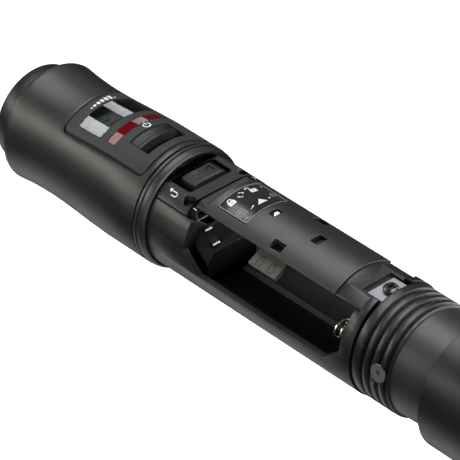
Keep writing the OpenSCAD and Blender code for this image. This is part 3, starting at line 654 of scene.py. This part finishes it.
def link_group(name, pieces, state):
    group = bpy.data.collections.new(name)
    for piece in pieces:
        group.objects.link(piece)
    for link in group.collection_objects:
        link.light_linking.link_state = state
    return group


def shine_on(light, names, state="INCLUDE"):
    """The light shines on the named pieces only, or on everything but those pieces."""
    pieces = [NODES[name] for name in names]
    light.light_linking.receiver_collection = link_group(light.name + "_links", pieces, state)


GLOSSY = ("display_window", "ir_window")
TAIL_PARTS = ("label_shell", "chassis_spine", "collar_ring", "tail_collar", "tail_screws", "ground_screw",
              "antenna_cap", "nav_cap", "deck_screws")
COOL, CLEAR, WARM = (0.96, 0.98, 1.0), (0.97, 0.985, 1.0), (1.0, 0.96, 0.89)
PALE, CREAM = (1.0, 0.985, 0.96), (1.0, 0.97, 0.93)

shine_on(strip_light("light_main", -9.0, 42, 1.015, 13.6, CLEAR, along=-0.4275),
         GLOSSY + ("icon_label",), "EXCLUDE")
shine_on(strip_light("light_near_strip", 13.4, 36.4, 1.3, 23, CLEAR), GLOSSY)
shine_on(strip_light("light_label", -4.0, 26, 1.3, 14, CLEAR), ("icon_label",))
shine_on(strip_light("light_far_strip", -52.0, 23, 1.3, 6.6, COOL), GLOSSY)
shine_on(strip_light("light_back", -58.0, 20, 1.4, 0.9, COOL),
         ("upper_housing", "collar_ring", "display_bezel"))
shine_on(strip_light("light_scoop", -34.0, 14, 1.3, 1.5, COOL), ("power_slider",))
strip_light("light_fill", 60.0, 14, 0.47, 0.72, WARM, along=-1.3, distance=0.2)
strip_light("light_under", 163.0, 48, 0.6, 0.31, PALE, distance=0.2)
shine_on(panel_light("light_tail", BAY_MIDDLE, (0.68, 0.10, 0.68), 0.8, 1.1, 0.35, 12.0, COOL), TAIL_PARTS)

bay_light = panel_light("light_bay", BAY_MIDDLE, (0.583, 0.533, 0.613), 0.3, 0.26, 0.26, 0.9, CREAM)
bay_parts = [NODES["pack_contacts"]] + SPRINGS
bay_light.light_linking.receiver_collection = link_group("bay_lit", bay_parts, "INCLUDE")
bay_light.light_linking.blocker_collection = link_group("bay_shading", bay_parts, "INCLUDE")
shine_on(panel_light("light_facet", FACET_MIDDLE, (0.362, -0.846, 0.392), 0.3, 0.15, 0.15, 0.14, COOL),
         ("contact_block",))
shine_on(panel_light("light_far_side", BAY_MIDDLE, (0.62, 0.77, -0.05), 0.6, 0.9, 0.35, 4.8, COOL),
         ("collar_ring",), "EXCLUDE")
shine_on(panel_light("light_near_side", BAY_MIDDLE, (0.62, -0.75, 0.20), 0.6, 0.7, 0.3, 1.8, CLEAR),
         ("contact_block", "tail_screws", "pack_contacts", "tail_collar"), "EXCLUDE")


SURROUNDINGS = (0.05, 0.05, 0.052)
WHITE = (1.0, 1.0, 1.0)


def studio_world():
    """Dim surroundings for the reflections, and a white background behind the floor."""
    world = bpy.data.worlds.new("studio")
    world.use_nodes = True
    tree = world.node_tree
    tree.nodes.clear()
    seen = add(tree, "ShaderNodeLightPath").outputs["Is Camera Ray"]
    tone = mix(tree, seen, SURROUNDINGS, WHITE)
    sky = add(tree, "ShaderNodeBackground", {"Color": tone, "Strength": 1.0})
    out = add(tree, "ShaderNodeOutputWorld")
    tree.links.new(sky.outputs[0], out.inputs[0])
    scene.world = world


studio_world()


def flat_sheet(name, half, z, material):
    """A level square that is a stage and not a part of the product."""
    mesh = bpy.data.meshes.new(name)
    mesh.from_pydata([(-half, -half, z), (half, -half, z), (half, half, z), (-half, half, z)],
                     [], [(0, 1, 2, 3)])
    mesh.materials.append(material)
    sheet = bpy.data.objects.new(name, mesh)
    scene.collection.objects.link(sheet)
    return sheet


PAPER_GLOW = 0.75


def floor_paper():
    """Pale paper that glows a little, as a floor under a light box does."""
    material = finish("floor_paper", (0.82, 0.82, 0.82), (0.80, 0.80, 0.80), 0.8, grain=0.5, bump=0.01,
                      stain=0.01, specular=0.1)
    surface = next(n for n in material.node_tree.nodes if n.type == "BSDF_PRINCIPLED")
    surface.inputs["Emission Color"].default_value = rgb(WHITE)
    surface.inputs["Emission Strength"].default_value = PAPER_GLOW
    return material


FLOOR_HALF, FLOOR_Z = 20, -0.24
floor = flat_sheet("floor", FLOOR_HALF, FLOOR_Z, floor_paper())
floor.visible_glossy = False
floor.visible_diffuse = False
floor.visible_shadow = False
